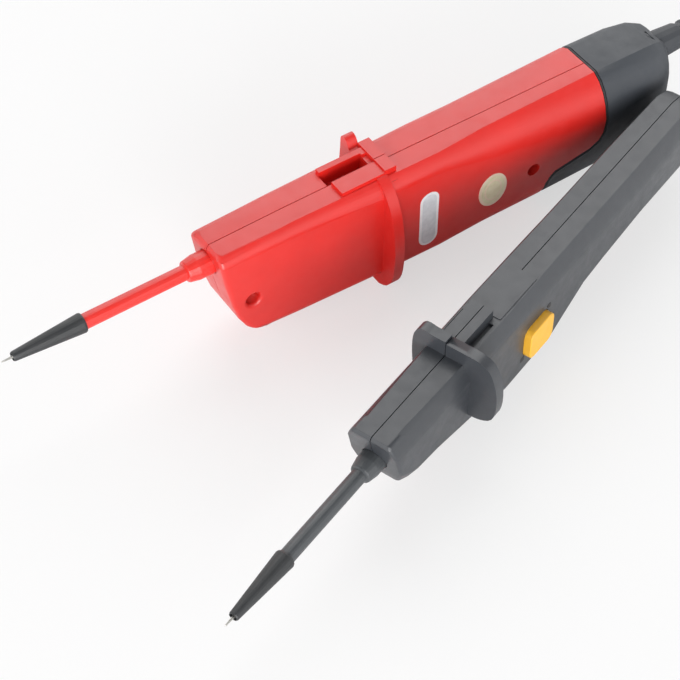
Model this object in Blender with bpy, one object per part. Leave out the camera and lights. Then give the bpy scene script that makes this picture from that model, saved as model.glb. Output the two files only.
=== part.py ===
"""Two-pole voltage tester: a main unit, a remote probe and the cord between them.

Each unit is drawn in its own local frame: x runs from the probe's tip to the tail, y = 0 is the plane where
its two shells meet, and z is height above the surface it lies on. Metres throughout.
"""

import math

import bmesh
import bpy
from mathutils import Euler, Matrix, Vector

MM = 0.001

# Driving dimensions, in millimetres along each unit from the needle's tip.
GAP = 0.3                  # clearance kept between neighbouring pieces
WALL = 2.0                 # shell wall
CORNER_STEPS = 4           # facets across each rounded long edge
SIDES = 24                 # facets round a turned piece

NEEDLE_END = 4.0           # bare needle in front of the tip cap
CAP_END = 29.7             # back edge of the tip cap
COLLAR_START = 68.0        # where the probe's shaft meets its collar
SLEEVE_END = 92.0          # end of the insulation, inside the body
PIN_END = 96.0

MAIN_PROBE_Z = 41.7        # height of the main unit's probe axis
MAIN_CORD_Z = 40.0
MAIN_SEAM = 234.2          # where the main shells end and the end cap starts
MAIN_TAIL = 269.0
GUARD_START, GUARD_END = 139.6, 143.6
GUARD_MIDDLE = 0.5 * (GUARD_START + GUARD_END)

REMOTE_PROBE_Z = 27.2
REMOTE_CORD_Z = 25.0
REMOTE_TAIL = 267.0
REMOTE_GUARD_START, REMOTE_GUARD_END = 114.2, 118.2
REMOTE_TIP = (-130.6, -114.1)        # needle tip, from the main guard's middle
REMOTE_TURN = math.radians(19.8)     # the remote probe's heading against the main unit's

CORD_RADIUS = 2.75
RELIEF_LENGTH = 30.0
RELIEF_RADIUS = 5.5
HANK_CENTRE = (260.0, 2.0)
HANK_RUN = 60.0                      # straight stretch between the hank's round ends
HANK_BEND = 22.0                     # radius of the outer turn's bends, to the cord's centre
HANK_FLOOR = 0.9                     # the hank lies on its tie
HANK_TOP = HANK_FLOOR + 4 * CORD_RADIUS
TIE_WIDTH, TIE_THICK = 9.0, 0.6

# Body stations: x, top, bottom, half width of the top flat, half depth, chamfer height, chamfer fullness.
MAIN_STATIONS = [
    (70.0, 49.2, 6.8, 6.2, 9.6, 3.8, 0.6),
    (106.0, 49.7, 4.8, 7.1, 10.6, 4.4, 0.6),
    (141.0, 49.6, 3.4, 7.6, 11.6, 5.4, 0.6),
    (165.0, 49.5, 3.2, 7.8, 12.2, 6.0, 0.61),
    (184.0, 49.2, 3.0, 6.4, 13.2, 9.5, 0.62),
    (206.0, 49.0, 2.8, 6.0, 14.2, 12.5, 0.64),
    (234.2, 48.8, 2.6, 5.6, 15.0, 15.5, 0.64),
    (254.0, 48.4, 2.8, 5.5, 14.4, 15.0, 0.64),
    (262.0, 47.6, 3.6, 5.0, 13.0, 14.0, 0.64),
    (266.6, 46.0, 5.2, 4.4, 11.0, 12.4, 0.64),
    (268.4, 44.4, 6.8, 3.8, 9.2, 11.0, 0.64),
    (269.0, 42.6, 8.6, 3.2, 7.6, 9.6, 0.64),
]
# The main unit's front half is flatter on top and a little deeper.
MAIN_FRONT_STATIONS = [
    (70.0, 49.2, 6.8, 6.4, 10.6, 3.8, 0.6),
    (106.0, 49.7, 4.8, 7.4, 11.6, 4.4, 0.6),
    (141.0, 49.6, 3.4, 8.0, 12.6, 5.0, 0.6),
    (165.0, 49.5, 3.2, 8.4, 13.2, 5.2, 0.61),
    (184.0, 49.2, 3.0, 8.2, 14.2, 6.6, 0.62),
    (206.0, 49.0, 2.8, 8.6, 15.2, 7.6, 0.64),
    (234.2, 48.8, 2.6, 9.2, 16.0, 8.0, 0.64),
    (254.0, 48.4, 2.8, 9.2, 15.6, 8.0, 0.64),
    (262.0, 47.6, 3.6, 8.6, 14.4, 7.8, 0.64),
    (266.6, 46.0, 5.2, 7.4, 12.4, 7.4, 0.64),
    (268.4, 44.4, 6.8, 6.2, 10.4, 7.0, 0.64),
    (269.0, 42.6, 8.6, 5.0, 8.6, 6.6, 0.64),
]
REMOTE_STATIONS = [
    (72.6, 40.0, 23.0, 6.6, 9.4, 5.8, 0.56),
    (76.0, 40.0, 19.6, 6.8, 9.8, 6.2, 0.55),
    (79.6, 40.0, 16.4, 6.8, 9.9, 6.4, 0.54),
    (83.6, 40.0, 13.8, 6.8, 9.9, 6.6, 0.54),
    (88.0, 40.0, 12.2, 6.8, 9.9, 6.6, 0.54),
    (99.0, 40.0, 10.8, 6.8, 9.9, 6.6, 0.54),
    (121.0, 40.0, 5.8, 6.8, 9.9, 6.6, 0.54),
    (131.0, 40.0, 3.0, 6.8, 9.9, 6.6, 0.54),
    (140.0, 40.0, 0.0, 6.9, 9.9, 6.6, 0.55),
    (166.0, 40.0, 0.0, 6.6, 9.9, 6.8, 0.55),
    (175.0, 40.0, 4.0, 6.5, 9.9, 7.0, 0.55),
    (187.0, 40.0, 8.6, 6.4, 9.8, 7.4, 0.55),
    (200.0, 40.0, 9.8, 6.4, 9.8, 7.8, 0.55),
    (227.0, 40.0, 11.6, 6.4, 9.8, 8.0, 0.55),
    (258.0, 39.8, 10.4, 6.0, 9.4, 8.2, 0.56),
    (264.0, 38.6, 11.6, 5.2, 8.4, 8.2, 0.58),
    (267.0, 36.2, 13.6, 4.4, 7.4, 7.4, 0.6),
]

# The line where shells and end cap meet, in x and z: up the tongue's front, along its top, then up the body.
SEAM = [(209.6, -4.0), (209.6, 14.0), (210.4, 16.6), (213.0, 18.8), (228.0, 22.0), (232.0, 24.2),
        (233.6, 27.0), (MAIN_SEAM, 31.0), (MAIN_SEAM, 60.0)]
GASKET = 0.7

# Guard outlines, half at a time from the top of the joint plane to its bottom: distance out, height.
MAIN_GUARD_BACK = [(7.5, 50.2), (12.0, 46.8), (16.2, 39.4), (18.2, 30.0), (18.8, 20.0), (17.6, 9.5),
                   (14.2, 3.0), (9.5, 0.0)]
MAIN_GUARD_FRONT = [(9.6, 50.2), (11.2, 53.0), (13.2, 53.8), (14.6, 52.4), (14.9, 48.0), (15.8, 38.0),
                    (16.2, 26.0), (15.4, 12.0), (12.6, 3.0), (8.6, 0.0)]
REMOTE_GUARD_NEAR = [(11.6, 45.6), (16.6, 43.4), (19.6, 36.0), (20.2, 27.4), (18.8, 20.8), (14.6, 17.8),
                     (9.6, 17.0)]
REMOTE_GUARD_FAR = [(6.0, 46.4), (9.6, 46.6), (12.0, 43.0), (12.6, 36.0), (11.8, 26.0), (9.4, 17.0)]

# Screws through the main back shell and through the remote's far shell: distance along, height.
MAIN_SCREWS = [(87.8, 24.6), (203.0, 24.6)]
REMOTE_SCREWS = [(103.0, 19.4), (214.0, 25.0)]
SCREW_HEAD, SCREW_SHANK = 2.3, 1.3
HEAD_DEPTH = 6.4           # how far each screw's seat lies below the face

# Main unit's front: windows and button, as (low x, high x, low z, high z).
LED_WINDOW = (100.0, 132.0, 22.0, 31.0)
LCD_WINDOW = (150.0, 178.0, 17.0, 36.0)
MAIN_BUTTON = (182.0, 194.0, 20.0, 32.0)
MAIN_BUTTON_Y = 17.0
REMOTE_BUTTON = (148.0, 162.4, 12.6, 25.6)
REMOTE_BUTTON_Y = 12.6
BUTTON_TRAVEL = 1.5
BUTTON_FLANGE = 1.2

CELL_RADIUS, CELL_LENGTH = 5.25, 44.5
CELL_START = 186.6


def clear_scene():
    for old in list(bpy.data.objects):
        bpy.data.objects.remove(old)


def material(name, color, roughness, metallic=0.0):
    made = bpy.data.materials.new(name)
    made.use_nodes = True
    shader = made.node_tree.nodes["Principled BSDF"]
    shader.inputs["Base Color"].default_value = (*color, 1.0)
    shader.inputs["Roughness"].default_value = roughness
    shader.inputs["Metallic"].default_value = metallic
    return made


def place(name, at, turn=0.0):
    empty = bpy.data.objects.new(name, None)
    empty.location = Vector(at) * MM
    empty.rotation_euler = Euler((0.0, 0.0, turn))
    bpy.context.collection.objects.link(empty)
    return empty


def keep(bm, name, parent, look, origin=(0.0, 0.0, 0.0), smooth=False):
    """Turn a millimetre bmesh into an object whose own origin is at `origin` in its unit's frame."""
    bmesh.ops.remove_doubles(bm, verts=bm.verts, dist=0.001)
    bmesh.ops.recalc_face_normals(bm, faces=bm.faces)
    bmesh.ops.transform(bm, matrix=Matrix.Translation(-Vector(origin)), verts=bm.verts)
    bmesh.ops.scale(bm, vec=(MM, MM, MM), verts=bm.verts)
    mesh = bpy.data.meshes.new(name)
    bm.to_mesh(mesh)
    bm.free()
    if smooth:
        mesh.shade_smooth()
        mesh.set_sharp_from_angle(angle=math.radians(35))
    made = bpy.data.objects.new(name, mesh)
    made.parent = parent
    made.location = Vector(origin) * MM
    if look:
        mesh.materials.append(look)
    bpy.context.collection.objects.link(made)
    return made


def tool(bm, name, parent):
    """A cutter or an added lump, which the build leaves out."""
    made = keep(bm, name, parent, None)
    made.hide_render = True
    made.display_type = "WIRE"
    return made


def combine(target, other, operation):
    step = target.modifiers.new(other.name, "BOOLEAN")
    step.operation = operation
    step.object = other
    return target


def bevelled(target, width, segments=1, angle=30.0):
    step = target.modifiers.new("soft_edges", "BEVEL")
    step.width = width * MM
    step.segments = segments
    step.limit_method = "ANGLE"
    step.angle_limit = math.radians(angle)
    return target


def prism(points, low, high, axis):
    """A closed prism: `points` are (first, second) in the plane across `axis`, between low and high."""
    order = {"x": lambda a, b, c: (c, a, b), "y": lambda a, b, c: (a, c, b), "z": lambda a, b, c: (a, b, c)}
    spot = order[axis]
    bm = bmesh.new()
    face = bm.faces.new([bm.verts.new(spot(a, b, low)) for a, b in points])
    lifted = bmesh.ops.extrude_face_region(bm, geom=[face])["geom"]
    moved = [v for v in lifted if isinstance(v, bmesh.types.BMVert)]
    bmesh.ops.translate(bm, vec=Vector(spot(0.0, 0.0, high - low)), verts=moved)
    return bm


def box(x0, x1, y0, y1, z0, z1):
    return prism([(x0, y0), (x1, y0), (x1, y1), (x0, y1)], z0, z1, "z")


def round_box(x0, x1, y0, y1, z0, z1, radius, steps=3):
    """A box whose corners are rounded as seen along y."""
    points = []
    for cx, cz, start in ((x1 - radius, z1 - radius, 0), (x0 + radius, z1 - radius, 90),
                          (x0 + radius, z0 + radius, 180), (x1 - radius, z0 + radius, 270)):
        for i in range(steps + 1):
            turn = math.radians(start + 90.0 * i / steps)
            points.append((cx + radius * math.cos(turn), cz + radius * math.sin(turn)))
    return prism(points, y0, y1, "y")


def turned(profile, height, closed=False, sides=SIDES):
    """A piece turned about the line y = 0, z = height: profile points are (x, radius)."""
    bm = bmesh.new()
    verts = [bm.verts.new((x, r, height)) for x, r in profile]
    edges = [bm.edges.new(pair) for pair in zip(verts, verts[1:])]
    if closed:
        edges.append(bm.edges.new((verts[-1], verts[0])))
    bmesh.ops.spin(bm, geom=verts + edges, cent=(0.0, 0.0, height), axis=(1.0, 0.0, 0.0),
                   angle=math.tau, steps=sides, use_merge=True)
    bmesh.ops.remove_doubles(bm, verts=bm.verts, dist=0.0005)
    return bm


def rounded_line(points, steps):
    """A smooth line through the given ones, with `steps` pieces between each pair."""
    padded = [points[0]] + list(points) + [points[-1]]
    made = []
    for a, b, c, d in zip(padded, padded[1:], padded[2:], padded[3:]):
        a, b, c, d = Vector(a), Vector(b), Vector(c), Vector(d)
        for i in range(steps):
            t = i / steps
            made.append(0.5 * (2 * b + (c - a) * t + (2 * a - 5 * b + 4 * c - d) * t ** 2
                               + (3 * b - a - 3 * c + d) * t ** 3))
    return [tuple(point) for point in made] + [tuple(points[-1])]


def cylinder(radius, start, end, sides=SIDES):
    """A plain round bar from one point to another."""
    start, end = Vector(start), Vector(end)
    bm = bmesh.new()
    bmesh.ops.create_cone(bm, cap_ends=True, segments=sides, radius1=radius, radius2=radius,
                          depth=(end - start).length)
    turn = (end - start).to_track_quat("Z", "Y").to_matrix().to_4x4()
    bmesh.ops.transform(bm, matrix=Matrix.Translation((start + end) / 2) @ turn, verts=bm.verts)
    return bm


def station_at(stations, x):
    """The body's section numbers at any x, read between its stations."""
    for low, high in zip(stations, stations[1:]):
        if x <= high[0]:
            share = (x - low[0]) / (high[0] - low[0])
            return tuple(a + (b - a) * share for a, b in zip(low, high))
    return stations[-1]


def half_section(station, side, inset, plane):
    """One half of the body's outline at a station, from the joint plane's top round to its bottom."""
    x, top, bottom, flat, depth, drop, full = station
    top, bottom = top - inset, bottom + inset
    flat, depth = max(flat - 0.4 * inset, 1.0), depth - inset
    bulge = 2.0 * full - 0.5
    corner = []
    for i in range(CORNER_STEPS + 1):
        t = i / CORNER_STEPS
        out = 2.0 * t * (1.0 - t) * bulge + t * t
        down = 2.0 * t * (1.0 - t) * (1.0 - bulge) + t * t
        corner.append((flat + (depth - flat) * out, drop * down))
    upper = [(y, top - down) for y, down in corner]
    lower = [(y, bottom + down) for y, down in reversed(corner)]
    outline = [(plane, top)] + upper + lower + [(plane, bottom)]
    return [(x, side * y, z) for y, z in outline]


def loft(rings):
    """Skin matching rings of points and close both ends."""
    bm = bmesh.new()
    loops = [[bm.verts.new(point) for point in ring] for ring in rings]
    for ring, following in zip(loops, loops[1:]):
        for i in range(len(ring)):
            j = (i + 1) % len(ring)
            bm.faces.new((ring[i], ring[j], following[j], following[i]))
    bm.faces.new(loops[0])
    bm.faces.new(loops[-1])
    return bm


def half_body(stations, start, end, side, inset=0.0, plane=0.15):
    """The body's half between start and end as a closed solid."""
    inner = [s for s in stations if start < s[0] < end]
    cuts = [station_at(stations, start)] + inner + [station_at(stations, end)]
    return loft([half_section(s, side, inset, plane) for s in cuts])


def whole_body(start, end, inset=0.0):
    """Both of the main unit's halves at once, for pieces that close its tail."""
    marks = [start] + [s[0] for s in MAIN_STATIONS if start < s[0] < end] + [end]
    rings = []
    for x in marks:
        back = half_section(station_at(MAIN_STATIONS, x), -1.0, inset, 0.0)
        front = half_section(station_at(MAIN_FRONT_STATIONS, x), 1.0, inset, 0.0)
        rings.append(back[1:-1] + front[-2:0:-1])
    return loft(rings)


def moved_path(points, distance):
    """The seam line moved sideways, towards the tail for a positive distance."""
    made = []
    for i, point in enumerate(points):
        before, after = points[max(i - 1, 0)], points[min(i + 1, len(points) - 1)]
        along = Vector((after[0] - before[0], after[1] - before[1])).normalized()
        made.append((point[0] + along.y * distance, point[1] - along.x * distance))
    return made


def behind_seam(distance):
    """The region behind the seam line, as a prism outline."""
    return moved_path(SEAM, distance) + [(320.0, 60.0), (320.0, -4.0)]


def probe(unit, prefix, height, sleeve_look, collar):
    """Needle, insulated sleeve with its collar, and the pull-off tip cap."""
    pin = [(0.0, 0.0), (0.4, 0.25), (NEEDLE_END, 0.5), (6.5, 1.0), (PIN_END, 1.0), (PIN_END, 0.0)]
    keep(turned(pin, height, sides=12), prefix + "_probe_pin", unit, LOOKS["steel"], smooth=True)
    bore = 1.0 + GAP
    sleeve = [(26.4, bore), (26.4, 2.45), (27.4, 2.7), (COLLAR_START - 0.3, 2.7), (COLLAR_START, collar - 0.4),
              (COLLAR_START + 0.4, collar - 0.2), (72.0, collar + 0.5), (SLEEVE_END, collar + 0.5),
              (SLEEVE_END, bore)]
    keep(turned(sleeve, height, closed=True), prefix + "_probe_sleeve", unit, sleeve_look, smooth=True)
    cap = [(NEEDLE_END, 1.3), (NEEDLE_END, 1.5), (NEEDLE_END + 0.5, 1.75), (CAP_END - 0.6, 3.5),
           (CAP_END, 3.3), (CAP_END, 3.0), (26.0, 3.0), (25.0, 1.3)]
    cap = keep(turned(cap, height, closed=True), prefix + "_tip_cap", unit, LOOKS["cap_black"],
               origin=(NEEDLE_END, 0.0, height), smooth=True)
    return cap


def relief(unit, prefix, start, height, look):
    """The moulded sleeve where the cord leaves a tail, with three shallow waists and a lip inside."""
    end = start + RELIEF_LENGTH
    profile = [(start - 8.0, 0.0), (start - 8.0, 6.9), (start - 4.4, 6.9), (start - 4.4, RELIEF_RADIUS),
               (start + 1.0, RELIEF_RADIUS)]
    for i in range(3):
        x = start + 9.0 + 6.0 * i
        radius = RELIEF_RADIUS - 1.9 * (x - start) / RELIEF_LENGTH
        profile += [(x, radius), (x + 0.8, radius - 0.7), (x + 2.6, radius - 0.8), (x + 3.4, radius - 0.2)]
    profile += [(end - 0.6, 3.5), (end, 3.1), (end, 0.0)]
    return keep(turned(profile, height, sides=16), prefix + "_strain_relief", unit, look, smooth=True)


def shell(unit, name, look, stations, start, end, side, guard, guard_x, cavity, front_cut=None):
    """A half body with its guard half added and its inside hollowed."""
    made = keep(half_body(stations, start, end, side), name, unit, look)
    top, bottom = guard[0][1], guard[-1][1]
    edge = rounded_line(guard, 3)
    outline = [(side * 0.15, top)] + [(side * y, z) for y, z in edge] + [(side * 0.15, bottom)]
    flange = tool(prism(outline, guard_x[0], guard_x[1], "x"), name + "_guard", unit)
    combine(made, flange, "UNION")
    hollow = half_body(stations, cavity[0], cavity[1], side, inset=WALL, plane=-1.0)
    combine(made, tool(hollow, name + "_hollow", unit), "DIFFERENCE")
    if front_cut:
        combine(made, tool(prism(front_cut, -30.0, 30.0, "y"), name + "_front_cut", unit), "DIFFERENCE")
    return made


def bore_for_probe(made, unit, height, collar, stations_start):
    """Room for the sleeve, the pin and a socket behind them."""
    name = made.name
    throat = cylinder(collar + 0.5 + GAP, (stations_start - 6.0, 0.0, height), (SLEEVE_END + GAP, 0.0, height))
    combine(made, tool(throat, name + "_throat", unit), "DIFFERENCE")
    tunnel = cylinder(1.0 + GAP, (SLEEVE_END - 1.0, 0.0, height), (PIN_END + 4.0, 0.0, height), 12)
    combine(made, tool(tunnel, name + "_tunnel", unit), "DIFFERENCE")


def screw_posts(unit, head_shell, thread_shell, spots, side, head_face, floor_depths):
    """Posts in both shells, the recess for each head and the screws themselves."""
    for number, ((x, z), face, floor) in enumerate(zip(spots, head_face, floor_depths), 1):
        mark = f"_{number}"
        seat = side * (face - HEAD_DEPTH)
        tip = -side * (floor - 2.2)
        post = cylinder(4.0, (x, side * 0.15, z), (x, side * (face - 1.2), z), 16)
        combine(head_shell, tool(post, head_shell.name + "_post" + mark, unit), "UNION")
        post = cylinder(3.4, (x, -side * 0.15, z), (x, -side * (floor - 1.2), z), 16)
        combine(thread_shell, tool(post, thread_shell.name + "_post" + mark, unit), "UNION")
        recess = cylinder(SCREW_HEAD + GAP, (x, seat, z), (x, side * (face + 4.0), z), 16)
        combine(head_shell, tool(recess, head_shell.name + "_recess" + mark, unit), "DIFFERENCE")
        shank = cylinder(SCREW_SHANK + GAP, (x, side * face, z), (x, tip - side * GAP, z), 12)
        shank = tool(shank, head_shell.name + "_shank_hole" + mark, unit)
        combine(head_shell, shank, "DIFFERENCE")
        combine(thread_shell, shank, "DIFFERENCE")
        screw(unit, f"{head_shell.name.split('_')[0]}_screw{mark}", x, z, seat + side * GAP, side, tip)


def screw(unit, name, x, z, seat, side, tip):
    """A pan-head screw with a cross recess, its head towards `side`."""
    made = keep(cylinder(SCREW_HEAD, (x, seat, z), (x, seat + side * 1.8, z), 16), name, unit, LOOKS["steel"])
    shank = cylinder(SCREW_SHANK, (x, seat + side * 0.4, z), (x, tip, z), 12)
    combine(made, tool(shank, name + "_shank", unit), "UNION")
    top = seat + side * 1.8
    for part, wide, tall in (("a", 1.3, 0.28), ("b", 0.28, 1.3)):
        low, high = sorted((top - side * 0.9, top + side))
        slot = box(x - wide, x + wide, low, high, z - tall, z + tall)
        combine(made, tool(slot, name + "_slot_" + part, unit), "DIFFERENCE")
    return made


def main_shells(unit):
    front_cut = [(60.0, -5.0), (99.0, -5.0), (96.0, 5.0), (92.0, 6.2), (88.2, 8.6), (85.0, 12.0), (82.2, 17.4),
                 (80.0, 25.0), (77.8, 35.8), (76.3, 46.0), (76.4, 47.8), (77.3, 49.2), (78.8, 50.4), (80.0, 60.0),
                 (60.0, 60.0)]
    both = dict(start=70.0, end=MAIN_SEAM, guard_x=(GUARD_START, GUARD_END), cavity=(98.0, 240.0),
                front_cut=front_cut)
    back = shell(unit, "main_back_shell", LOOKS["red"], MAIN_STATIONS, side=-1.0, guard=MAIN_GUARD_BACK, **both)
    front = shell(unit, "main_front_shell", LOOKS["red"], MAIN_FRONT_STATIONS, side=1.0,
                  guard=MAIN_GUARD_FRONT, **both)
    rail = box(125.7, 144.0, -6.8, -0.3, 46.0, 51.0)
    combine(back, tool(rail, "rail", unit), "UNION")
    combine(back, tool(box(143.2, 147.8, -6.7, -0.15, 46.0, 51.8), "back_block", unit), "UNION")
    combine(back, tool(box(144.4, 147.0, -9.4, -5.4, 43.4, 48.2), "block_notch", unit), "DIFFERENCE")
    combine(front, tool(box(143.2, 147.8, 0.15, 9.6, 46.0, 51.8), "front_block", unit), "UNION")
    combine(front, tool(box(122.0, 143.8, 0.15, 9.0, 42.0, 49.0), "socket_floor", unit), "UNION")
    combine(front, tool(box(124.6, 143.8, 4.6, 7.7, 46.0, 51.2), "socket_rim", unit), "UNION")
    combine(front, tool(box(124.2, 141.2, -1.0, 5.5, 44.8, 60.0), "socket", unit), "DIFFERENCE")
    behind = tool(prism(behind_seam(0.0), -30.0, 30.0, "y"), "behind_seam", unit)
    for made in (back, front):
        bore_for_probe(made, unit, MAIN_PROBE_Z, 4.0, 76.0)
        combine(made, behind, "DIFFERENCE")
    front_hole(front, unit, LED_WINDOW, 1.0)
    front_hole(front, unit, LCD_WINDOW, 1.6)
    front_hole(front, unit, MAIN_BUTTON, 2.0)
    screw_posts(unit, back, front, MAIN_SCREWS, -1.0, (10.1, 14.1), (11.1, 15.1))
    return back, front


def front_hole(made, unit, window, radius):
    x0, x1, z0, z1 = window
    hole = round_box(x0 - GAP, x1 + GAP, 6.0, 30.0, z0 - GAP, z1 + GAP, radius + GAP)
    combine(made, tool(hole, f"hole_{int(x0)}", unit), "DIFFERENCE")


def main_tail(unit):
    """The dark end cap with its tongue along the underside, and the rubber line in front of it."""
    cap = keep(whole_body(200.0, MAIN_TAIL), "main_end_cap", unit, LOOKS["dark_grey"])
    hollow = whole_body(199.0, 262.0, inset=2.4)
    combine(cap, tool(hollow, "cap_hollow", unit), "DIFFERENCE")
    region = tool(prism(behind_seam(2 * GAP + GASKET), -30.0, 30.0, "y"), "cap_region", unit)
    combine(cap, region, "INTERSECT")
    gland = cylinder(RELIEF_RADIUS + GAP, (255.0, 0.0, MAIN_CORD_Z), (275.0, 0.0, MAIN_CORD_Z), 20)
    combine(cap, tool(gland, "cap_gland", unit), "DIFFERENCE")
    room = cylinder(6.9 + GAP, (255.0, 0.0, MAIN_CORD_Z), (MAIN_TAIL - 4.0, 0.0, MAIN_CORD_Z), 20)
    combine(cap, tool(room, "cap_lip_room", unit), "DIFFERENCE")
    ring = keep(whole_body(200.0, 238.0, inset=0.1), "main_cap_gasket", unit, LOOKS["rubber_black"])
    hollow = whole_body(199.0, 239.0, inset=1.9)
    combine(ring, tool(hollow, "gasket_hollow", unit), "DIFFERENCE")
    strip = moved_path(SEAM, GAP) + moved_path(SEAM, GAP + GASKET)[::-1]
    combine(ring, tool(prism(strip, -30.0, 30.0, "y"), "gasket_strip", unit), "INTERSECT")
    return cap


def main_inside(unit):
    """Board, display, lamps, cells and buzzer."""
    board = keep(box(100.0, 192.0, 2.4, 4.0, 8.0, 40.0), "main_circuit_board", unit, LOOKS["board_green"])
    combine(board, tool(box(99.0, 107.0, 0.0, 9.0, 36.0, 46.0), "board_notch", unit), "DIFFERENCE")
    keep(box(LED_WINDOW[0] + 1, LED_WINDOW[1] - 1, 4.3, 8.8, LED_WINDOW[2] + 1, LED_WINDOW[3] - 1),
         "main_led_row", unit, LOOKS["led_white"])
    keep(box(LCD_WINDOW[0] - 1, LCD_WINDOW[1] + 1, 4.3, 9.0, LCD_WINDOW[2] - 1, LCD_WINDOW[3] + 1),
         "main_lcd_module", unit, LOOKS["lcd"])
    for name, window, radius, depth in (("main_led_lens", LED_WINDOW, 1.0, 11.2),
                                        ("main_display_lens", LCD_WINDOW, 1.6, 12.8)):
        x0, x1, z0, z1 = window
        keep(round_box(x0, x1, 9.4, depth, z0, z1, radius), name, unit, LOOKS["lens"])
    keep(cylinder(6.0, (140.0, 2.1, 18.0), (140.0, -2.4, 18.0)), "main_buzzer", unit, LOOKS["rubber_black"],
         smooth=True)
    for number, height in enumerate((14.8, 37.0), 1):
        end = CELL_START + CELL_LENGTH
        cell = [(CELL_START, 0.0), (CELL_START, CELL_RADIUS), (end - 1.0, CELL_RADIUS), (end - 1.0, 1.9),
                (end, 1.9), (end, 0.0)]
        bm = turned(cell, height, sides=16)
        bmesh.ops.translate(bm, vec=(0.0, -3.2, 0.0), verts=bm.verts)
        keep(bm, f"main_cell_{number}", unit, LOOKS["cell_wrap"], smooth=True)
    keep(box(185.6, 186.3, -7.0, 2.0, 10.0, 42.0), "main_cell_spring_plate", unit, LOOKS["steel"])
    keep(box(231.5, 232.2, -7.0, 2.0, 10.0, 42.0), "main_cell_bridge", unit, LOOKS["steel"])


def main_button(unit):
    """The load button on the front, its flange kept inside by the shell, over its switch."""
    x0, x1, z0, z1 = MAIN_BUTTON
    centre = (0.5 * (x0 + x1), MAIN_BUTTON_Y, 0.5 * (z0 + z1))
    made = keep(round_box(x0, x1, 10.6, MAIN_BUTTON_Y, z0, z1, 2.0), "main_load_button", unit,
                LOOKS["yellow"], origin=centre)
    flange = round_box(x0 - 1.2, x1 + 1.2, 10.3, 10.3 + BUTTON_FLANGE, z0 - 1.2, z1 + 1.2, 2.4)
    combine(made, tool(flange, "main_button_flange", unit), "UNION")
    keep(box(x0 + 3, x1 - 3, 4.3, 10.3 - BUTTON_TRAVEL - GAP, z0 + 3, z1 - 3), "main_button_switch", unit,
         LOOKS["rubber_black"])
    return made


def remote_shells(unit):
    front_cut = [(60.0, -5.0), (84.0, -5.0), (82.0, 12.0), (79.2, 16.4), (77.4, 21.0), (73.3, 37.6), (73.2, 38.8),
                 (73.8, 39.8), (75.0, 40.6), (76.0, 60.0), (60.0, 60.0)]
    both = dict(stations=REMOTE_STATIONS, start=72.6, end=REMOTE_TAIL,
                guard_x=(REMOTE_GUARD_START, REMOTE_GUARD_END), cavity=(98.0, 262.0), front_cut=front_cut)
    near = shell(unit, "remote_button_shell", LOOKS["dark_grey"], side=-1.0, guard=REMOTE_GUARD_NEAR, **both)
    far = shell(unit, "remote_back_shell", LOOKS["dark_grey"], side=1.0, guard=REMOTE_GUARD_FAR, **both)
    combine(near, tool(box(118.0, 136.5, -3.6, -0.15, 38.6, 43.6), "near_rib", unit), "UNION")
    combine(far, tool(box(118.0, 136.5, 0.15, 4.6, 38.6, 43.6), "far_rib", unit), "UNION")
    combine(near, tool(box(122.0, 134.0, -5.6, -3.7, 38.8, 45.0), "near_slot", unit), "DIFFERENCE")
    combine(far, tool(box(122.0, 134.0, 4.7, 6.4, 38.8, 45.0), "far_slot", unit), "DIFFERENCE")
    for made in (near, far):
        bore_for_probe(made, unit, REMOTE_PROBE_Z, 3.9, 72.6)
        gland = cylinder(RELIEF_RADIUS + GAP, (250.0, 0.0, REMOTE_CORD_Z), (275.0, 0.0, REMOTE_CORD_Z), 20)
        combine(made, tool(gland, made.name + "_gland", unit), "DIFFERENCE")
        room = cylinder(6.9 + GAP, (255.0, 0.0, REMOTE_CORD_Z), (REMOTE_TAIL - 3.0, 0.0, REMOTE_CORD_Z), 20)
        combine(made, tool(room, made.name + "_lip_room", unit), "DIFFERENCE")
    x0, x1, z0, z1 = REMOTE_BUTTON
    hole = round_box(x0 - GAP, x1 + GAP, -30.0, -5.0, z0 - GAP, z1 + GAP, 3.0 + GAP)
    combine(near, tool(hole, "remote_button_hole", unit), "DIFFERENCE")
    screw_posts(unit, far, near, REMOTE_SCREWS, 1.0, (9.5, 9.5), (9.5, 9.5))
    return near, far


def remote_button(unit):
    x0, x1, z0, z1 = REMOTE_BUTTON
    centre = (0.5 * (x0 + x1), -REMOTE_BUTTON_Y, 0.5 * (z0 + z1))
    made = keep(round_box(x0, x1, -REMOTE_BUTTON_Y, -6.6, z0, z1, 3.0), "remote_push_button", unit,
                LOOKS["yellow"], origin=centre)
    flange = round_box(x0 - 1.2, x1 + 1.2, -7.4, -7.4 + BUTTON_FLANGE, z0 - 1.2, z1 + 1.2, 3.4)
    combine(made, tool(flange, "remote_button_flange", unit), "UNION")
    low = -6.2 + BUTTON_TRAVEL + GAP
    keep(box(x0 + 5, x1 - 5, low, 0.6, z0 + 5, z1 - 5), "remote_button_switch", unit, LOOKS["rubber_black"])
    keep(box(140.0, 194.0, 0.9, 2.5, 12.4, 31.0), "remote_circuit_board", unit, LOOKS["board_green"])
    keep(cylinder(3.4, (172.0, -2.8, 20.0), (190.0, -2.8, 20.0), 16), "remote_load_resistor", unit,
         LOOKS["ceramic"], smooth=True)
    return made


def smooth_route(points, spacing):
    """Points every `spacing` along a smooth curve through the given ones."""
    dense = [Vector(point) for point in rounded_line(points, 24)]
    made, left = [dense[0]], spacing
    for start, end in zip(dense, dense[1:]):
        left -= (end - start).length
        if left <= 0:
            made.append(end)
            left = spacing
    if (made[-1] - dense[-1]).length < 0.5 * spacing:
        made.pop()
    return made + [dense[-1]]


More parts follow.
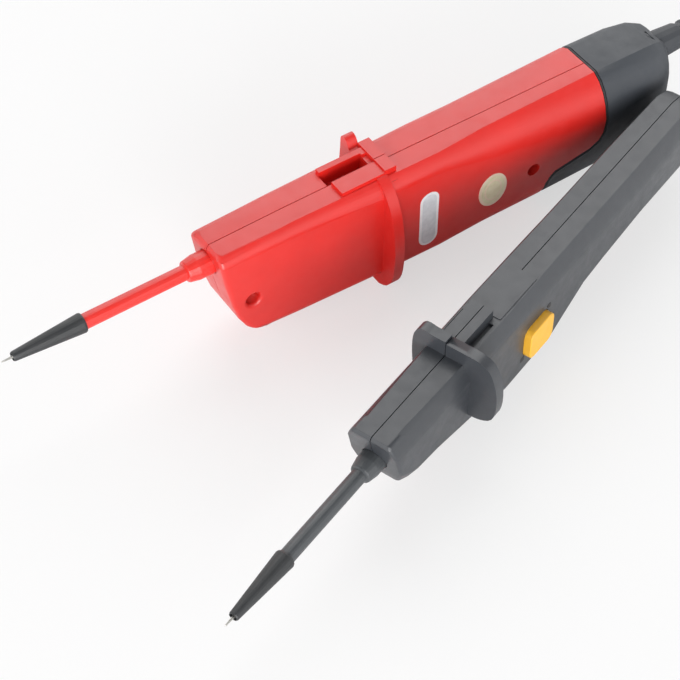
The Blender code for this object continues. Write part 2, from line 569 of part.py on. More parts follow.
def cord_tube(name, points):
    line = bpy.data.curves.new(name, "CURVE")
    line.dimensions = "3D"
    line.bevel_depth = CORD_RADIUS * MM
    line.bevel_resolution = 2
    line.use_fill_caps = True
    line.resolution_u = 1
    line.render_resolution_u = 0
    route = smooth_route(points, 7.0)
    spline = line.splines.new("POLY")
    spline.points.add(len(route) - 1)
    for spot, point in zip(spline.points, route):
        spot.co = (*(point * MM), 1.0)
    line.materials.append(LOOKS["cord_black"])
    made = bpy.data.objects.new(name, line)
    bpy.context.collection.objects.link(made)
    return made


def on_remote(x, y, z):
    """A point of the remote unit's frame, in the part's frame."""
    spot = Matrix.Rotation(REMOTE_TURN, 3, "Z") @ Vector((x, y, z))
    return spot + Vector((*REMOTE_TIP, 0.0))


def hank_outline(radius):
    cx, cy = HANK_CENTRE
    points = []
    for end, start in ((1.0, -90.0), (-1.0, 90.0)):
        for i in range(13):
            turn = math.radians(start + 15.0 * i)
            points.append((cx + end * HANK_RUN / 2 + radius * math.cos(turn), cy + radius * math.sin(turn)))
    return points


def cord():
    """The cord from tail to tail: two free runs, and the rest folded into a tied hank behind the units."""
    main_exit = MAIN_TAIL + RELIEF_LENGTH - GUARD_MIDDLE + GAP
    remote_exit = REMOTE_TAIL + RELIEF_LENGTH + GAP
    main_route = [(main_exit, 0.0, MAIN_CORD_Z), (main_exit + 8, 0.0, MAIN_CORD_Z), (main_exit + 25, 4.0, 30.0),
                  (main_exit + 41, 11.0, 16.4), (main_exit + 49.0, 15.5, 12.3)]
    cord_tube("cord_main_run", main_route)
    start = on_remote(remote_exit, 0.0, REMOTE_CORD_Z)
    turn_out = on_remote(remote_exit + 8.0, 0.0, REMOTE_CORD_Z)
    remote_route = [start, turn_out, (start.x + 26, start.y + 5.6, 13.4), (start.x + 42, start.y + 3.4, 5.4),
                    (start.x + 60.5, start.y - 2.0, 3.65)]
    cord_tube("cord_remote_run", remote_route)
    keep(prism(hank_outline(HANK_BEND + CORD_RADIUS), HANK_FLOOR, HANK_TOP, "z"), "cord_hank", None,
         LOOKS["cord_black"])
    cx, cy = HANK_CENTRE
    outer = HANK_BEND + CORD_RADIUS + GAP
    tie = box(cx - TIE_WIDTH / 2, cx + TIE_WIDTH / 2, cy - outer - TIE_THICK, cy + outer + TIE_THICK, 0.0,
              HANK_TOP + GAP + TIE_THICK)
    tie = keep(tie, "cord_tie", None, LOOKS["rubber_black"])
    inside = box(cx - TIE_WIDTH, cx + TIE_WIDTH, cy - outer, cy + outer, TIE_THICK, HANK_TOP + GAP)
    combine(tie, tool(inside, "tie_inside", None), "DIFFERENCE")


clear_scene()
LOOKS = {
    "red": material("red_shell", (0.62, 0.035, 0.022), 0.42),
    "dark_grey": material("dark_grey_shell", (0.075, 0.08, 0.088), 0.5),
    "cap_black": material("tip_cap_black", (0.022, 0.024, 0.026), 0.5),
    "rubber_black": material("black_rubber", (0.015, 0.015, 0.016), 0.7),
    "steel": material("plated_steel", (0.62, 0.62, 0.6), 0.28, 1.0),
    "yellow": material("yellow_button", (0.82, 0.42, 0.035), 0.45),
    "lens": material("clear_lens", (0.5, 0.52, 0.54), 0.12),
    "lcd": material("display_glass", (0.33, 0.38, 0.3), 0.3),
    "led_white": material("led_body", (0.8, 0.8, 0.78), 0.4),
    "board_green": material("circuit_board", (0.02, 0.16, 0.07), 0.5),
    "cell_wrap": material("cell_wrap", (0.03, 0.1, 0.3), 0.35),
    "ceramic": material("ceramic_white", (0.72, 0.7, 0.64), 0.6),
    "cord_black": material("cord_jacket", (0.03, 0.031, 0.033), 0.55),
}
main_unit = place("main_unit", (-GUARD_MIDDLE, 0.0, 0.0))
remote_unit = place("remote_unit", (*REMOTE_TIP, 0.0), REMOTE_TURN)

main_shells(main_unit)
main_tail(main_unit)
main_inside(main_unit)
main_button(main_unit)
probe(main_unit, "main", MAIN_PROBE_Z, LOOKS["red"], 4.0)
relief(main_unit, "main", MAIN_TAIL, MAIN_CORD_Z, LOOKS["dark_grey"])
remote_shells(remote_unit)
remote_button(remote_unit)
probe(remote_unit, "remote", REMOTE_PROBE_Z, LOOKS["dark_grey"], 3.9)
relief(remote_unit, "remote", REMOTE_TAIL, REMOTE_CORD_Z, LOOKS["dark_grey"])
cord()
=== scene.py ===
"""Looks for the two-pole voltage tester: camera, light, cord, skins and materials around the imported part.

World millimetres times MM give metres. The main unit lies along X with its guard at the origin; the remote
probe has its own turn and tip, so its pieces are drawn in its own frame and carried over.
"""

import math

import bmesh
import bpy
from mathutils import Matrix, Vector
from mathutils.bvhtree import BVHTree


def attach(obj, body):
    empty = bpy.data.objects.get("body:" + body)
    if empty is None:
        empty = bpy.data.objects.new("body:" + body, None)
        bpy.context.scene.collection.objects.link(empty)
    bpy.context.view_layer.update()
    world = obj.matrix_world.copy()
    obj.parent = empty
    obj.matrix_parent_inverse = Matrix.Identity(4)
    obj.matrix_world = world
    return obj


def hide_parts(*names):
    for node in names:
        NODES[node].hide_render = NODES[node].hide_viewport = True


MM = 0.001
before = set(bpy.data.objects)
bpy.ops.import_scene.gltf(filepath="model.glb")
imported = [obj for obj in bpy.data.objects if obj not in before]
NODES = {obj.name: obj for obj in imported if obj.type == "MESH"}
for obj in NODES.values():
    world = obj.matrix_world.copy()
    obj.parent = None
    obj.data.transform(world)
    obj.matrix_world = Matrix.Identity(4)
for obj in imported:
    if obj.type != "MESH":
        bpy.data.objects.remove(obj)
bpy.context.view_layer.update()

GUARD_MIDDLE = 141.6
REMOTE_TIP = (-130.6, -114.1)
REMOTE_TURN = math.radians(19.8)
TO_MAIN = Matrix.Translation((-GUARD_MIDDLE * MM, 0.0, 0.0))
TO_REMOTE = (Matrix.Translation((REMOTE_TIP[0] * MM, REMOTE_TIP[1] * MM, 0.0))
             @ Matrix.Rotation(REMOTE_TURN, 4, "Z"))

# ---------------------------------------------------------------- camera

camera_data = bpy.data.cameras.new("view_camera")
camera_data.sensor_width = 36.0
camera_data.lens = 105.9
camera_data.clip_start = 0.05
camera_data.clip_end = 20.0
camera = bpy.data.objects.new("view_camera", camera_data)
camera.location = (-0.2782, -0.3913, 0.5299)
camera.rotation_euler = (math.radians(40.0), 0.0, math.radians(-34.21))
bpy.context.collection.objects.link(camera)
bpy.context.scene.camera = camera


# ---------------------------------------------------------------- materials

def srgb(r, g, b):
    """Colour from 0 to 255 display values, as linear numbers."""
    made = []
    for value in (r, g, b):
        value = value / 255.0
        made.append(value / 12.92 if value <= 0.04045 else ((value + 0.055) / 1.055) ** 2.4)
    return (*made, 1.0)


class Surface:
    """A procedural material with its own object coordinates."""

    def __init__(self, name, roughness, metallic=0.0, specular=0.5, coat=0.0, coat_rough=0.1):
        self.made = bpy.data.materials.new(name)
        self.made.use_nodes = True
        self.nodes = self.made.node_tree.nodes
        self.links = self.made.node_tree.links
        self.shader = self.nodes["Principled BSDF"]
        self.shader.inputs["Roughness"].default_value = roughness
        self.shader.inputs["Metallic"].default_value = metallic
        self.shader.inputs["Specular IOR Level"].default_value = specular
        self.shader.inputs["Coat Weight"].default_value = coat
        self.shader.inputs["Coat Roughness"].default_value = coat_rough
        self.spot = self.nodes.new("ShaderNodeTexCoord").outputs["Object"]
        self.normal = None

    def noise(self, scale, detail=4.0, stretch=None, rough=0.55):
        node = self.nodes.new("ShaderNodeTexNoise")
        node.inputs["Scale"].default_value = scale
        node.inputs["Detail"].default_value = detail
        node.inputs["Roughness"].default_value = rough
        source = self.spot
        if stretch:
            mapping = self.nodes.new("ShaderNodeMapping")
            mapping.inputs["Scale"].default_value = stretch
            self.links.new(source, mapping.inputs["Vector"])
            source = mapping.outputs["Vector"]
        self.links.new(source, node.inputs["Vector"])
        return node.outputs["Fac"]

    def ramp(self, source, stops):
        node = self.nodes.new("ShaderNodeValToRGB")
        ramp = node.color_ramp
        ramp.elements[0].position, ramp.elements[0].color = stops[0]
        ramp.elements[1].position, ramp.elements[1].color = stops[-1]
        for position, color in stops[1:-1]:
            ramp.elements.new(position).color = color
        self.links.new(source, node.inputs["Fac"])
        return node.outputs["Color"]

    def spread(self, source, low, high, to_low, to_high):
        node = self.nodes.new("ShaderNodeMapRange")
        for key, value in (("From Min", low), ("From Max", high), ("To Min", to_low), ("To Max", to_high)):
            node.inputs[key].default_value = value
        self.links.new(source, node.inputs["Value"])
        return node.outputs["Result"]

    def color(self, source):
        self.links.new(source, self.shader.inputs["Base Color"])
        return self

    def rough(self, source):
        self.links.new(source, self.shader.inputs["Roughness"])
        return self

    def bump(self, source, distance, strength=1.0):
        node = self.nodes.new("ShaderNodeBump")
        node.inputs["Distance"].default_value = distance
        node.inputs["Strength"].default_value = strength
        self.links.new(source, node.inputs["Height"])
        if self.normal:
            self.links.new(self.normal, node.inputs["Normal"])
        self.normal = node.outputs["Normal"]
        self.links.new(self.normal, self.shader.inputs["Normal"])
        return self


def shade(color, factor):
    return (color[0] * factor, color[1] * factor, color[2] * factor, 1.0)


def moulded(name, base, roughness, grain, depth, coat=0.0, drift=0.07):
    """Moulded plastic: slight drift of tone, a fine spark-eroded grain and uneven gloss."""
    made = Surface(name, roughness, specular=0.7, coat=coat, coat_rough=0.3)
    tone = made.noise(38.0, 3.0)
    made.color(made.ramp(tone, [(0.3, shade(base, 1.0 - drift)), (0.55, base), (0.75, shade(base, 1.0 + drift))]))
    made.bump(made.noise(grain, 5.0, rough=0.62), depth, 0.5)
    made.bump(made.noise(90.0, 2.0), depth * 2.5, 0.18)
    made.rough(made.spread(made.noise(260.0, 5.0), 0.3, 0.7, roughness - 0.06, roughness + 0.08))
    return made.made


RED = srgb(218, 34, 27)
GREY = srgb(55, 58, 63)
LOOKS = {
    "red": moulded("red_moulded_shell", RED, 0.4, 2600.0, 0.00006, coat=0.2),
    "red_probe": moulded("red_probe_insulation", srgb(228, 44, 36), 0.36, 1900.0, 0.00004, coat=0.12),
    "grey": moulded("dark_grey_moulded_shell", GREY, 0.4, 2500.0, 0.00007, coat=0.2, drift=0.08),
    "cap_grey": moulded("dark_grey_end_cap", srgb(62, 66, 72), 0.5, 2200.0, 0.00007, drift=0.1),
    "probe_grey": moulded("dark_grey_probe_insulation", srgb(66, 69, 72), 0.4, 1800.0, 0.00005, coat=0.1),
    "relief_grey": moulded("dark_grey_relief", srgb(60, 63, 68), 0.55, 1600.0, 0.00006),
    "tip_black": moulded("black_tip_cap", srgb(40, 42, 44), 0.48, 1700.0, 0.00006, drift=0.12),
    "yellow": moulded("yellow_button_plastic", srgb(238, 178, 48), 0.4, 2100.0, 0.00004, coat=0.1),
    "black": moulded("black_rubber_trim", srgb(38, 38, 40), 0.6, 1500.0, 0.00006, drift=0.12),
}


def cord_surface():
    made = Surface("cord_jacket_black", 0.5, specular=0.4)
    tone = made.noise(120.0, 3.0)
    made.color(made.ramp(tone, [(0.3, srgb(44, 45, 48)), (0.7, srgb(58, 59, 62))]))
    made.bump(made.noise(900.0, 4.0), 0.00005, 0.5)
    made.bump(made.noise(60.0, 2.0), 0.0003, 0.2)
    made.rough(made.spread(made.noise(300.0, 4.0), 0.3, 0.7, 0.42, 0.6))
    return made.made


def plated_surface():
    made = Surface("plated_steel", 0.26, metallic=1.0)
    streaks = made.noise(220.0, 5.0, stretch=(1.0, 12.0, 12.0))
    made.color(made.ramp(streaks, [(0.3, srgb(176, 174, 168)), (0.7, srgb(222, 221, 216))]))
    made.rough(made.spread(streaks, 0.3, 0.7, 0.2, 0.38))
    made.bump(made.noise(1500.0, 3.0), 0.00002, 0.4)
    return made.made


def board_surface():
    made = Surface("circuit_board_mask", 0.35, specular=0.5, coat=0.3)
    wave = made.nodes.new("ShaderNodeTexBrick")
    wave.inputs["Scale"].default_value = 260.0
    wave.inputs["Color1"].default_value = srgb(26, 96, 62)
    wave.inputs["Color2"].default_value = srgb(30, 108, 70)
    wave.inputs["Mortar"].default_value = srgb(150, 140, 84)
    wave.inputs["Mortar Size"].default_value = 0.03
    made.links.new(made.spot, wave.inputs["Vector"])
    made.color(wave.outputs["Color"])
    made.bump(made.noise(700.0), 0.00004, 0.4)
    return made.made


def cell_surface():
    """A wrapped cell: plain coloured sleeve, copper band and plated ends, by place along the cell."""
    made = Surface("cell_wrap", 0.3, specular=0.5, coat=0.4)
    split = made.nodes.new("ShaderNodeSeparateXYZ")
    made.links.new(made.spot, split.inputs["Vector"])
    along = made.spread(split.outputs["X"], 0.045, 0.0895, 0.0, 1.0)
    stops = [(0.0, srgb(40, 62, 92)), (0.6, srgb(44, 68, 100)), (0.62, srgb(196, 132, 78)),
             (0.93, srgb(200, 138, 84)), (0.97, srgb(196, 194, 188))]
    made.color(made.ramp(along, stops))
    made.rough(made.spread(made.noise(400.0), 0.3, 0.7, 0.24, 0.36))
    made.bump(made.noise(500.0), 0.00004, 0.3)
    return made.made


def lens_surface():
    made = Surface("clear_lens", 0.08, specular=0.5, coat=0.4)
    made.color(made.ramp(made.noise(60.0), [(0.3, srgb(74, 82, 84)), (0.7, srgb(92, 100, 101))]))
    made.shader.inputs["Alpha"].default_value = 0.42
    made.rough(made.spread(made.noise(300.0), 0.3, 0.7, 0.05, 0.13))
    made.bump(made.noise(140.0), 0.00003, 0.3)
    return made.made


def lcd_surface():
    made = Surface("display_glass", 0.22, specular=0.5)
    made.color(made.ramp(made.noise(50.0), [(0.3, srgb(150, 162, 138)), (0.7, srgb(162, 174, 150))]))
    made.rough(made.spread(made.noise(200.0), 0.3, 0.7, 0.18, 0.28))
    made.bump(made.noise(900.0), 0.00002, 0.3)
    return made.made


def paper_surface(name, dark, light, roughness):
    made = Surface(name, roughness, specular=0.4, coat=0.15)
    made.color(made.ramp(made.noise(420.0, 5.0), [(0.3, dark), (0.7, light)]))
    made.bump(made.noise(1400.0, 4.0), 0.00003, 0.4)
    made.rough(made.spread(made.noise(150.0), 0.3, 0.7, roughness - 0.06, roughness + 0.08))
    return made.made


LOOKS.update({
    "cord": cord_surface(),
    "steel": plated_surface(),
    "board": board_surface(),
    "cell": cell_surface(),
    "lens": lens_surface(),
    "lcd": lcd_surface(),
    "led": moulded("led_case", srgb(226, 226, 222), 0.3, 900.0, 0.00003, coat=0.3),
    "ceramic": moulded("resistor_ceramic", srgb(216, 210, 196), 0.6, 1200.0, 0.00006),
    "label_rim": paper_surface("label_white", srgb(236, 236, 238), srgb(247, 247, 249), 0.4),
    "label": paper_surface("label_silver_grey", srgb(206, 209, 214), srgb(226, 229, 233), 0.34),
    "seal_rim": paper_surface("seal_cream_rim", srgb(244, 222, 196), srgb(250, 232, 208), 0.42),
    "seal": paper_surface("seal_cream", srgb(232, 222, 184), srgb(244, 236, 204), 0.42),
    "ink": paper_surface("dark_ink", srgb(34, 36, 38), srgb(44, 46, 48), 0.5),
    "pale_ink": paper_surface("pale_ink", srgb(206, 206, 204), srgb(220, 220, 218), 0.5),
})


# ---------------------------------------------------------------- pieces

def add(bm, name, look, body, smooth_angle=40.0):
    bmesh.ops.recalc_face_normals(bm, faces=bm.faces)
    mesh = bpy.data.meshes.new(name)
    bm.to_mesh(mesh)
    bm.free()
    mesh.shade_smooth()
    mesh.set_sharp_from_angle(angle=math.radians(smooth_angle))
    made = bpy.data.objects.new(name, mesh)
    bpy.context.collection.objects.link(made)
    made.data.materials.append(LOOKS[look])
    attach(made, body)
    return made


def soften(bm, edges, width, segments, clamp=True):
    bmesh.ops.bevel(bm, geom=edges, offset=width * MM, segments=segments, profile=0.5, affect="EDGES",
                    clamp_overlap=clamp, offset_type="OFFSET")
    bmesh.ops.remove_doubles(bm, verts=bm.verts, dist=0.000002)


def skin(node, look, body, slot, edge, smooth_angle=34.0, sharp=32.0, nose=None):
    """The node's own shape with its hard edges rounded off, standing for the node.

    nose is (to_local, end, inner, width): edges in front of `end` along the unit, further than `inner`
    from the parting plane, are rounded first and by the larger width.
    """
    bm = bmesh.new()
    bm.from_mesh(NODES[node].data)
    bmesh.ops.remove_doubles(bm, verts=bm.verts, dist=0.000002)
    bmesh.ops.dissolve_limit(bm, angle_limit=math.radians(0.6), verts=bm.verts, edges=bm.edges)
    if nose:
        to_local, end, inner, width = nose
        front_edges = []
        for e in bm.edges:
            ends = [to_local @ v.co for v in e.verts]
            clear = all(v.x < end * MM and abs(v.y) > inner * MM for v in ends)
            if clear and len(e.link_faces) == 2 and e.calc_face_angle(0.0) > math.radians(28.0):
                front_edges.append(e)
        soften(bm, front_edges, width, 3, clamp=False)
    hard = [e for e in bm.edges if len(e.link_faces) == 2 and e.calc_face_angle(0.0) > math.radians(sharp)]
    soften(bm, hard, edge, 2)
    made = add(bm, node + "_skin", look, body, smooth_angle)
    step = made.modifiers.new("even_normals", "WEIGHTED_NORMAL")
    step.keep_sharp = True
    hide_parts(node)
    return made


SKINS = [
    ("main_back_shell", "red", "tester", "red_shell", 0.45),
    ("main_front_shell", "red", "tester", "red_shell", 0.45),
    ("main_end_cap", "cap_grey", "tester", "dark_grey_shell", 0.4),
    ("remote_button_shell", "grey", "tester", "dark_grey_shell", 0.45),
    ("remote_back_shell", "grey", "tester", "dark_grey_shell", 0.45),
    ("main_load_button", "yellow", "load_button", "yellow_button", 0.5),
    ("remote_push_button", "yellow", "push_button", "yellow_button", 0.9),
    ("cord_tie", "black", "tester", "black_rubber", 0.2),
]
NOSES = {
    "main_back_shell": (TO_MAIN.inverted(), 95.0, 5.0, 1.5),
    "main_front_shell": (TO_MAIN.inverted(), 95.0, 5.0, 1.5),
    "remote_button_shell": (TO_REMOTE.inverted(), 90.0, 5.0, 1.0),
    "remote_back_shell": (TO_REMOTE.inverted(), 90.0, 5.0, 1.0),
}
SKINNED = {entry[0]: skin(*entry, nose=NOSES.get(entry[0])) for entry in SKINS}

PLAIN = {
    "main_cap_gasket": "black", "main_probe_sleeve": "red_probe", "main_probe_pin": "steel",
    "main_tip_cap": "tip_black", "main_strain_relief": "relief_grey", "main_circuit_board": "board",
    "main_led_row": "led", "main_led_lens": "lens", "main_lcd_module": "lcd", "main_display_lens": "lens",
    "main_buzzer": "black", "main_cell_1": "cell", "main_cell_2": "cell", "main_cell_spring_plate": "steel",
    "main_cell_bridge": "steel", "main_button_switch": "black", "main_screw_1": "steel",
    "main_screw_2": "steel", "remote_probe_sleeve": "probe_grey", "remote_probe_pin": "steel",
    "remote_tip_cap": "tip_black", "remote_strain_relief": "relief_grey", "remote_button_switch": "black",
    "remote_circuit_board": "board", "remote_load_resistor": "ceramic", "remote_screw_1": "steel",
    "remote_screw_2": "steel",
}
for node, look in PLAIN.items():
    mesh = NODES[node].data
    mesh.materials.clear()
    mesh.materials.append(LOOKS[look])

# ---------------------------------------------------------------- cord

CORD_RADIUS = 2.7
MAIN_EXIT = Vector((157.7, 0.0, 40.0))
REMOTE_EXIT_U = 297.3


def on_remote(x, y, z):
    spot = Matrix.Rotation(REMOTE_TURN, 3, "Z") @ Vector((x, y, z))
    return spot + Vector((*REMOTE_TIP, 0.0))


def bend(cx, cy, radii, start, end, heights, steps):
    """Points round a bend, clockwise from above, with radius and height drifting between their ends."""
    made = []
    for i in range(steps + 1):
        t = i / steps
        ease = t * t * (3.0 - 2.0 * t)
        radius = radii[0] + (radii[1] - radii[0]) * ease
        turn = math.radians(start + (end - start) * t)
        height = heights[0] + (heights[1] - heights[0]) * ease
        made.append(Vector((cx + radius * math.cos(turn), cy + radius * math.sin(turn), height)))
    return made


def cord_route():
    """From the main relief, down to the hank, round it, and back up to the remote relief."""
    near, far, cy = 230.0, 290.0, 2.0
    low, high = 3.65, 9.15
    outer, inner = 22.0, 16.5
    route = [MAIN_EXIT - Vector((2.5, 0.0, 0.0)), MAIN_EXIT, MAIN_EXIT + Vector((8.0, 0.0, 0.0)),
             MAIN_EXIT + Vector((25.0, 4.0, -10.0)), MAIN_EXIT + Vector((41.0, 11.0, -23.6)),
             MAIN_EXIT + Vector((49.0, 15.5, -27.7)), Vector((217.0, 20.6, 10.4)), Vector((near, cy + outer, high))]
    route += [Vector((near + 30.0, cy + outer + 0.2, high))]
    route += bend(far, cy, (outer, outer), 90.0, -90.0, (high, high), 9)
    route += [Vector((near + 30.0, cy - outer, high))]
    route += bend(near, cy, (outer, inner), 270.0, 150.0, (high, high), 6)
    route += bend(near, cy, (inner, inner), 130.0, 90.0, (high, high), 2)
    route += [Vector((near + 30.0, cy + inner, high))]
    route += bend(far, cy, (inner, inner), 90.0, -90.0, (high, high), 8)
    route += [Vector((272.0, cy - inner, high)), Vector((262.0, cy - inner, high - 0.2)),
              Vector((247.0, cy - inner, 0.5 * (low + high))), Vector((234.0, cy - inner, low + 0.1))]
    route += bend(near, cy, (inner, inner), 270.0, 90.0, (low, low), 8)
    route += [Vector((near + 30.0, cy + inner, low))]
    route += bend(far, cy, (inner, outer), 90.0, -90.0, (low, low), 9)
    route += [Vector((near + 30.0, cy - outer, low)), Vector((near, cy - outer, low))]
    start = on_remote(REMOTE_EXIT_U, 0.0, 25.0)
    back = [start + Vector((60.5, -2.0, 0.0)), start + Vector((42.0, 3.4, 0.0)), start + Vector((26.0, 5.6, 0.0))]
    for point, height in zip(back, (3.65, 5.4, 13.4)):
        route.append(Vector((point.x, point.y, height)))
    route += [on_remote(REMOTE_EXIT_U + 8.0, 0.0, 25.0), start, on_remote(REMOTE_EXIT_U - 2.5, 0.0, 25.0)]
    return route


def smooth_route(points, spacing):
    """Points every `spacing` along a smooth curve through the given ones."""
    padded = [2 * points[0] - points[1]] + list(points) + [2 * points[-1] - points[-2]]
    dense = []
    for a, b, c, d in zip(padded, padded[1:], padded[2:], padded[3:]):
        for i in range(20):
            t = i / 20
            t1 = (b - a).length ** 0.5
            t2 = (c - b).length ** 0.5
            t3 = (d - c).length ** 0.5
            m1 = (b - a) / t1 - (c - a) / (t1 + t2) + (c - b) / t2
            m2 = (c - b) / t2 - (d - b) / (t2 + t3) + (d - c) / t3
            m1, m2 = m1 * t2, m2 * t2
            dense.append((2 * t ** 3 - 3 * t ** 2 + 1) * b + (t ** 3 - 2 * t ** 2 + t) * m1
                         + (3 * t ** 2 - 2 * t ** 3) * c + (t ** 3 - t ** 2) * m2)
    dense.append(points[-1])
    made, left = [dense[0]], spacing
    for start, end in zip(dense, dense[1:]):
        left -= (end - start).length
        if left <= 0:
            made.append(end)
            left = spacing
    if (made[-1] - dense[-1]).length < 0.5 * spacing:
        made.pop()
    return made + [dense[-1]]


line = bpy.data.curves.new("cord", "CURVE")
line.dimensions = "3D"
line.bevel_depth = CORD_RADIUS * MM
line.bevel_resolution = 6
line.use_fill_caps = True
line.resolution_u = 1
route = smooth_route(cord_route(), 3.0)
spline = line.splines.new("POLY")
spline.points.add(len(route) - 1)
for spot, point in zip(spline.points, route):
    spot.co = (*(point * MM), 1.0)
spline.use_smooth = True
cord = bpy.data.objects.new("cord", line)
bpy.context.collection.objects.link(cord)
line.materials.append(LOOKS["cord"])
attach(cord, "tester")
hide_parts("cord_main_run", "cord_remote_run", "cord_hank")


# ---------------------------------------------------------------- stickers and small details

def tree_of(*nodes):
    bm = bmesh.new()
    for node in nodes:
        bm.from_mesh(NODES[node].data)
    made = BVHTree.FromBMesh(bm)
    bm.free()
    return made


class Side:
    """One face of a unit, onto which flat outlines are laid: first axis along the unit, second axis up."""

    def __init__(self, matrix, nodes, side, body, top=False):
        self.matrix, self.side, self.body, self.top = matrix, side, body, top
        self.tree = tree_of(*nodes)

    def spot(self, a, b, lift):
        out = Vector((0.0, 0.0, 1.0)) if self.top else Vector((0.0, self.side, 0.0))
        start = Vector((a, b, 90.0)) if self.top else Vector((a, self.side * 60.0, b))
        direction = (self.matrix.to_3x3() @ -out).normalized()
        hit = self.tree.ray_cast(self.matrix @ (start * MM), direction)[0]
        return hit - direction * lift * MM

    def patch(self, outline, lift, name, look, thick=0.25, steps=1):
        """A thin plate following the face under the outline, whose rings shrink to its middle."""
        bm = bmesh.new()
        middle = Vector((sum(a for a, b in outline) / len(outline), sum(b for a, b in outline) / len(outline)))
        loops = []
        for step in range(steps + 1):
            share = 1.0 - step / (steps + 1)
            ring = [middle + (Vector(point) - middle) * share for point in outline]
            loops.append([bm.verts.new(self.spot(a, b, lift)) for a, b in ring])
        skirt = [bm.verts.new(self.spot(a, b, lift - thick)) for a, b in outline]
        chain = [skirt] + loops
        for one, two in zip(chain, chain[1:]):
            for i in range(len(outline)):
                j = (i + 1) % len(outline)
                bm.faces.new((one[i], one[j], two[j], two[i]))
        bm.faces.new(chain[-1])
        return add(bm, name, look, self.body, 50.0)


def oval(ca, cb, half_a, half_b, steps=40):
    turns = [math.tau * i / steps for i in range(steps)]
    return [(ca + half_a * math.cos(t), cb + half_b * math.sin(t)) for t in turns]


def pill(ca, cb, half_a, half_b, steps=10):
    made = []
    for sign, start in ((1.0, 0.0), (-1.0, math.pi)):
        for i in range(steps + 1):
            turn = start + math.pi * i / steps
            made.append((ca + half_a * math.cos(turn), cb + sign * (half_b - half_a) + half_a * math.sin(turn)))
    return made


def rect(a0, a1, b0, b1, radius=0.3):
    made = []
    for ca, cb, start in ((a1 - radius, b1 - radius, 0), (a0 + radius, b1 - radius, 90),
                          (a0 + radius, b0 + radius, 180), (a1 - radius, b0 + radius, 270)):
        for i in range(4):
            turn = math.radians(start + 30.0 * i)
            made.append((ca + radius * math.cos(turn), cb + radius * math.sin(turn)))
    return made


back = Side(TO_MAIN, ["main_back_shell"], -1.0, "tester")
front = Side(TO_MAIN, ["main_front_shell"], 1.0, "tester")
display = Side(TO_MAIN, ["main_lcd_module", "main_led_row"], 1.0, "tester")
near_face = Side(TO_REMOTE, ["remote_button_shell", "remote_push_button"], -1.0, "tester")
remote_top = Side(TO_REMOTE, ["remote_button_shell", "remote_back_shell"], 1.0, "tester", top=True)

back.patch(pill(158.6, 24.0, 3.9, 12.9), 0.10, "label_border", "label_rim")
back.patch(pill(158.6, 24.0, 2.9, 11.9), 0.20, "label_face", "label")
back.patch(oval(185.5, 24.0, 5.9, 7.6), 0.10, "seal_border", "seal_rim")
back.patch(oval(185.5, 24.0, 4.9, 6.5), 0.18, "seal_band", "seal")
back.patch(oval(185.5, 24.0, 3.6, 4.9), 0.24, "seal_ring", "seal_rim")
back.patch(oval(185.5, 24.0, 3.1, 4.3), 0.30, "seal_middle", "seal")

remote_top.patch(rect(136.9, 159.2, -6.2, 6.5, 0.6), 0.3, "remote_top_plate", "grey",
                 thick=0.6, steps=2)
# Painted shade: flat black plates over the gaps at the push button's corners stand in for the shade inside those
# open slots.
near_face.patch(rect(161.2, 163.6, 24.6, 27.0, 0.5), 0.08, "button_corner_gap_painted_shade_1", "black")
near_face.patch(rect(146.6, 148.8, 11.1, 13.4, 0.5), 0.08, "button_corner_gap_painted_shade_2", "black")
for number in range(6):
    a = 103.6 + 5.0 * number
    display.patch(oval(a, 26.5, 1.5, 1.5, 20), 0.35, f"led_{number + 1}", "yellow", thick=0.4)
    front.patch(rect(a - 1.4, a + 1.4, 34.0, 34.8), 0.06, f"scale_bar_{number + 1}", "pale_ink")
for number in range(5):
    a = 153.6 + 5.2 * number
    display.patch(rect(a - 1.7, a + 1.7, 20.0 + number, 31.0), 0.06, f"display_bar_{number + 1}", "ink",
                  thick=0.1)
front.patch(rect(181.6, 194.4, 34.6, 35.4), 0.06, "button_mark", "pale_ink")

# ---------------------------------------------------------------- floor and light


def floor_surface():
    """White paper whose shadows are part lifted where the camera sees them directly."""
    made = Surface("white_floor", 0.9, specular=0.1)
    out = made.nodes["Material Output"]
    glow = made.nodes.new("ShaderNodeEmission")
    mix = made.nodes.new("ShaderNodeMixShader")
    share = made.nodes.new("ShaderNodeMath")
    share.operation = "MULTIPLY"
    share.inputs[1].default_value = 0.6
    made.links.new(made.nodes.new("ShaderNodeLightPath").outputs["Is Camera Ray"], share.inputs[0])
    made.links.new(share.outputs[0], mix.inputs["Fac"])
    made.links.new(made.shader.outputs[0], mix.inputs[1])
    made.links.new(glow.outputs[0], mix.inputs[2])
    made.links.new(mix.outputs[0], out.inputs["Surface"])
    made.color(made.ramp(made.noise(6.0), [(0.3, (0.94, 0.94, 0.94, 1.0)), (0.7, (0.96, 0.96, 0.96, 1.0))]))
    return made.made


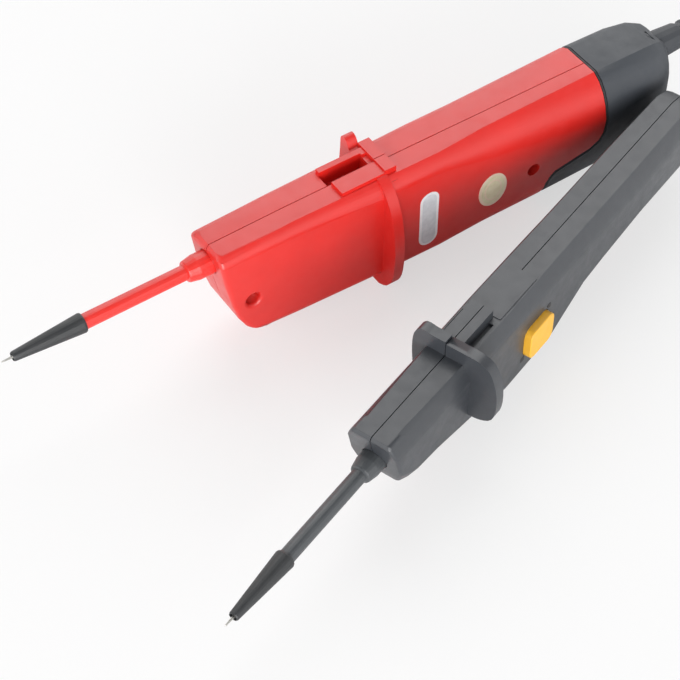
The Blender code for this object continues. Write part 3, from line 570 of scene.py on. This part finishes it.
bm = bmesh.new()
bmesh.ops.create_grid(bm, x_segments=2, y_segments=2, size=4.0)
bmesh.ops.translate(bm, vec=(0.0, 0.0, -0.0002), verts=bm.verts)
mesh = bpy.data.meshes.new("floor")
bm.to_mesh(mesh)
bm.free()
mesh.materials.append(floor_surface())
floor = bpy.data.objects.new("floor", mesh)
bpy.context.collection.objects.link(floor)


def lamp(name, at, aim, size, power):
    data = bpy.data.lights.new(name, "AREA")
    data.shape = "DISK"
    data.size = size
    data.energy = power
    made = bpy.data.objects.new(name, data)
    made.location = at
    made.rotation_euler = (Vector(aim) - Vector(at)).to_track_quat("-Z", "Y").to_euler()
    bpy.context.collection.objects.link(made)


lamp("back_softbox", (0.62, 0.92, 1.25), (0.0, -0.03, 0.0), 1.7, 14.0)
lamp("front_fill", (-0.7, -1.6, 0.34), (0.0, -0.03, 0.02), 1.3, 30.0)
lamp("left_fill", (-1.5, 0.2, 0.9), (0.0, -0.03, 0.02), 1.4, 5.0)

world = bpy.data.worlds.new("studio")
world.use_nodes = True
tree = world.node_tree
background = tree.nodes["Background"]
background.inputs["Color"].default_value = (1.0, 1.0, 1.0, 1.0)
path = tree.nodes.new("ShaderNodeLightPath")
# Paler near the horizon and dimmer overhead, as in a white sweep under a dark ceiling.
spot = tree.nodes.new("ShaderNodeTexCoord")
split = tree.nodes.new("ShaderNodeSeparateXYZ")
tree.links.new(spot.outputs["Generated"], split.inputs["Vector"])
ceiling = tree.nodes.new("ShaderNodeMapRange")
for key, value in (("From Min", 0.15), ("From Max", 0.75), ("To Min", 1.35), ("To Max", 0.2)):
    ceiling.inputs[key].default_value = value
tree.links.new(split.outputs["Z"], ceiling.inputs["Value"])
level = tree.nodes.new("ShaderNodeMix")
level.inputs["B"].default_value = 1.0
tree.links.new(path.outputs["Is Camera Ray"], level.inputs["Factor"])
tree.links.new(ceiling.outputs["Result"], level.inputs["A"])
tree.links.new(level.outputs["Result"], background.inputs["Strength"])
bpy.context.scene.world = world
bpy.context.scene.view_settings.view_transform = "Standard"
